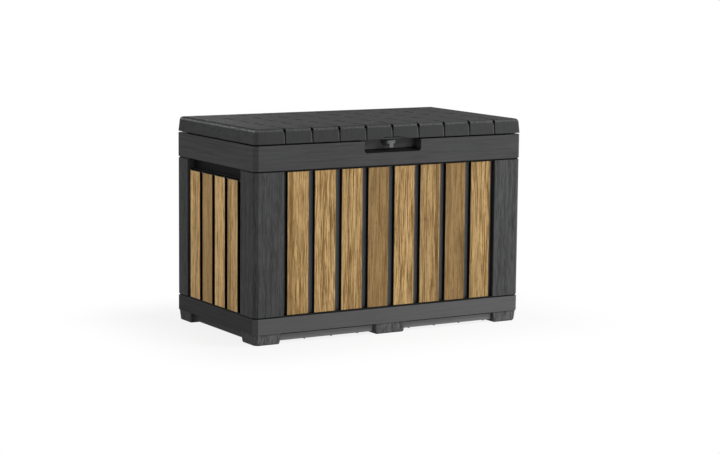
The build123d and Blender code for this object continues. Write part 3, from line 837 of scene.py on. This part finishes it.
class DOCKBOX_OT_hinges(bpy.types.Operator):
    """Finish the hinges, their pins and their screws in satin steel"""

    bl_idname = "dockbox.hinges"
    bl_label = "Hinge finish"

    def execute(self, context):
        colour = context.scene.dockbox_colours.steel
        leaf = brushed_steel("leaf_steel", "X", colour)
        turned = brushed_steel("turned_steel", "Y", colour)
        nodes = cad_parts
        wear(leaf, *[name for name in nodes if "leaf" in name])
        wear(turned, *[name for name in nodes if "pin" in name or "screws" in name])
        return {"FINISHED"}


def soft_light(name, place, target, size, power):
    """A large square lamp that faces a point."""
    lamp = bpy.data.lights.new(name, "AREA")
    lamp.shape = "SQUARE"
    lamp.size = size
    lamp.energy = power
    holder = bpy.data.objects.new(name, lamp)
    holder.location = place
    ahead = Vector(target) - Vector(place)
    holder.rotation_euler = ahead.to_track_quat("-Z", "Y").to_euler()
    bpy.context.collection.objects.link(holder)


def seen_directly(tree):
    """1 for rays that reach the viewer straight, by a mirror or through glass."""
    path = tree.nodes.new("ShaderNodeLightPath")
    total = path.outputs["Is Camera Ray"]
    for kind in ("Is Glossy Ray", "Is Transmission Ray"):
        node = tree.nodes.new("ShaderNodeMath")
        node.operation = "MAXIMUM"
        tree.links.new(total, node.inputs[0])
        tree.links.new(path.outputs[kind], node.inputs[1])
        total = node.outputs[0]
    return total


class DOCKBOX_OT_stage(bpy.types.Operator):
    """Set up the floor, the lights, the sky and the camera"""

    bl_idname = "dockbox.stage"
    bl_label = "Studio"

    def execute(self, context):
        studio = context.scene.dockbox_studio
        self.make_floor(context)
        for name, place, target, size, power in LAMPS:
            soft_light(name, place, target, size, getattr(studio, power))
        self.make_sky(context, studio.sky)
        self.make_camera(context, studio)
        return {"FINISHED"}

    def make_floor(self, context):
        """A white floor, whose own glow gives way to the box's shade near the box."""
        mesh = bpy.data.meshes.new("studio_floor")
        shape = bmesh.new()
        bmesh.ops.create_circle(
            shape, cap_ends=True, segments=FLOOR_CORNERS, radius=FLOOR_RADIUS
        )
        shape.to_mesh(mesh)
        shape.free()
        floor = bpy.data.objects.new("studio_floor", mesh)
        context.collection.objects.link(floor)
        finish = Finish("studio_floor_finish")
        finish.dress(context.scene.dockbox_colours.floor, 0.9, specular=0.0)
        glow = finish.add("ShaderNodeEmission")
        glow.inputs["Strength"].default_value = 1.0
        # Distance from the box: how far a point lies outside it along each axis
        outside = finish.place
        steps = (("ABSOLUTE", None), ("SUBTRACT", tuple(cad_high)), ("MAXIMUM", (0.0, 0.0, 0.0)))
        for operation, amount in steps:
            step = finish.add("ShaderNodeVectorMath", operation=operation)
            finish.feed(step, {0: outside} if amount is None else {0: outside, 1: amount})
            outside = step.outputs["Vector"]
        distance = finish.add("ShaderNodeVectorMath", operation="LENGTH")
        finish.feed(distance, {0: outside})
        spread = finish.ramp(distance.outputs["Value"], 0.0, GLOW_REACH, GLOW_NEAR, 1.0)
        share = finish.product(seen_directly(finish.tree), spread)
        blend = finish.add("ShaderNodeMixShader")
        surfaces = {1: finish.shader.outputs["BSDF"], 2: glow.outputs["Emission"]}
        finish.feed(blend, {"Fac": share, **surfaces})
        output = finish.tree.nodes["Material Output"]
        finish.feed(output, {"Surface": blend.outputs["Shader"]})
        mesh.materials.append(finish.material)

    def make_sky(self, context, strength):
        """An even sky that is white where it is seen, and weaker where it only lights."""
        world = bpy.data.worlds.new("studio_sky")
        world.use_nodes = True
        context.scene.world = world
        tree = world.node_tree
        background = tree.nodes["Background"]
        background.inputs["Color"].default_value = (1.0, 1.0, 1.0, 1.0)
        level = tree.nodes.new("ShaderNodeMapRange")
        tree.links.new(seen_directly(tree), level.inputs["Value"])
        level.inputs["To Min"].default_value = strength
        level.inputs["To Max"].default_value = 1.0
        tree.links.new(level.outputs["Result"], background.inputs["Strength"])

    def make_camera(self, context, studio):
        """The photo's camera, turned by its yaw, pitch and roll."""
        lens = bpy.data.cameras.new("camera")
        lens.lens = studio.lens
        lens.sensor_width = 36.0
        lens.clip_end = 100.0
        camera = bpy.data.objects.new("camera", lens)
        yaw, pitch, roll = studio.yaw, studio.pitch, studio.roll
        ahead = Vector((sin(yaw) * cos(pitch), cos(yaw) * cos(pitch), -sin(pitch)))
        side = Vector((cos(yaw), -sin(yaw), 0.0))
        above = side.cross(ahead)
        right = cos(roll) * side + sin(roll) * above
        up = -sin(roll) * side + cos(roll) * above
        turn = Matrix((right, up, -ahead)).transposed().to_4x4()
        camera.matrix_world = Matrix.Translation(Vector(studio.place)) @ turn
        context.collection.objects.link(camera)
        context.scene.camera = camera
        context.scene.view_settings.view_transform = "Standard"


OPERATORS = (
    DOCKBOX_OT_frame,
    DOCKBOX_OT_nubs,
    DOCKBOX_OT_lid,
    DOCKBOX_OT_panels,
    DOCKBOX_OT_slats,
    DOCKBOX_OT_hinges,
    DOCKBOX_OT_stage,
)


class DOCKBOX_PT_panel(bpy.types.Panel):
    """Sizes, colours and steps of the dock box's finish"""

    bl_idname = "DOCKBOX_PT_panel"
    bl_label = "Dock box"
    bl_space_type = "VIEW_3D"
    bl_region_type = "UI"
    bl_category = "Dock box"

    def draw(self, context):
        layout = self.layout
        for group in ("dockbox_sizes", "dockbox_colours", "dockbox_studio"):
            settings = getattr(context.scene, group)
            box = layout.box()
            for name in settings.__annotations__:
                box.prop(settings, name)
        for operator in OPERATORS:
            layout.operator(operator.bl_idname)


CLASSES = (DockBoxSizes, DockBoxColours, DockBoxStudio, *OPERATORS, DOCKBOX_PT_panel)


def register():
    for item in CLASSES:
        bpy.utils.register_class(item)
    bpy.types.Scene.dockbox_sizes = bpy.props.PointerProperty(type=DockBoxSizes)
    bpy.types.Scene.dockbox_colours = bpy.props.PointerProperty(type=DockBoxColours)
    bpy.types.Scene.dockbox_studio = bpy.props.PointerProperty(type=DockBoxStudio)


def unregister():
    del bpy.types.Scene.dockbox_studio
    del bpy.types.Scene.dockbox_colours
    del bpy.types.Scene.dockbox_sizes
    for item in reversed(CLASSES):
        bpy.utils.unregister_class(item)


def main():
    register()
    bpy.ops.dockbox.frame()
    bpy.ops.dockbox.nubs()
    bpy.ops.dockbox.lid()
    bpy.ops.dockbox.panels()
    bpy.ops.dockbox.slats()
    bpy.ops.dockbox.hinges()
    bpy.ops.dockbox.stage()


if __name__ == "__main__":
    main()
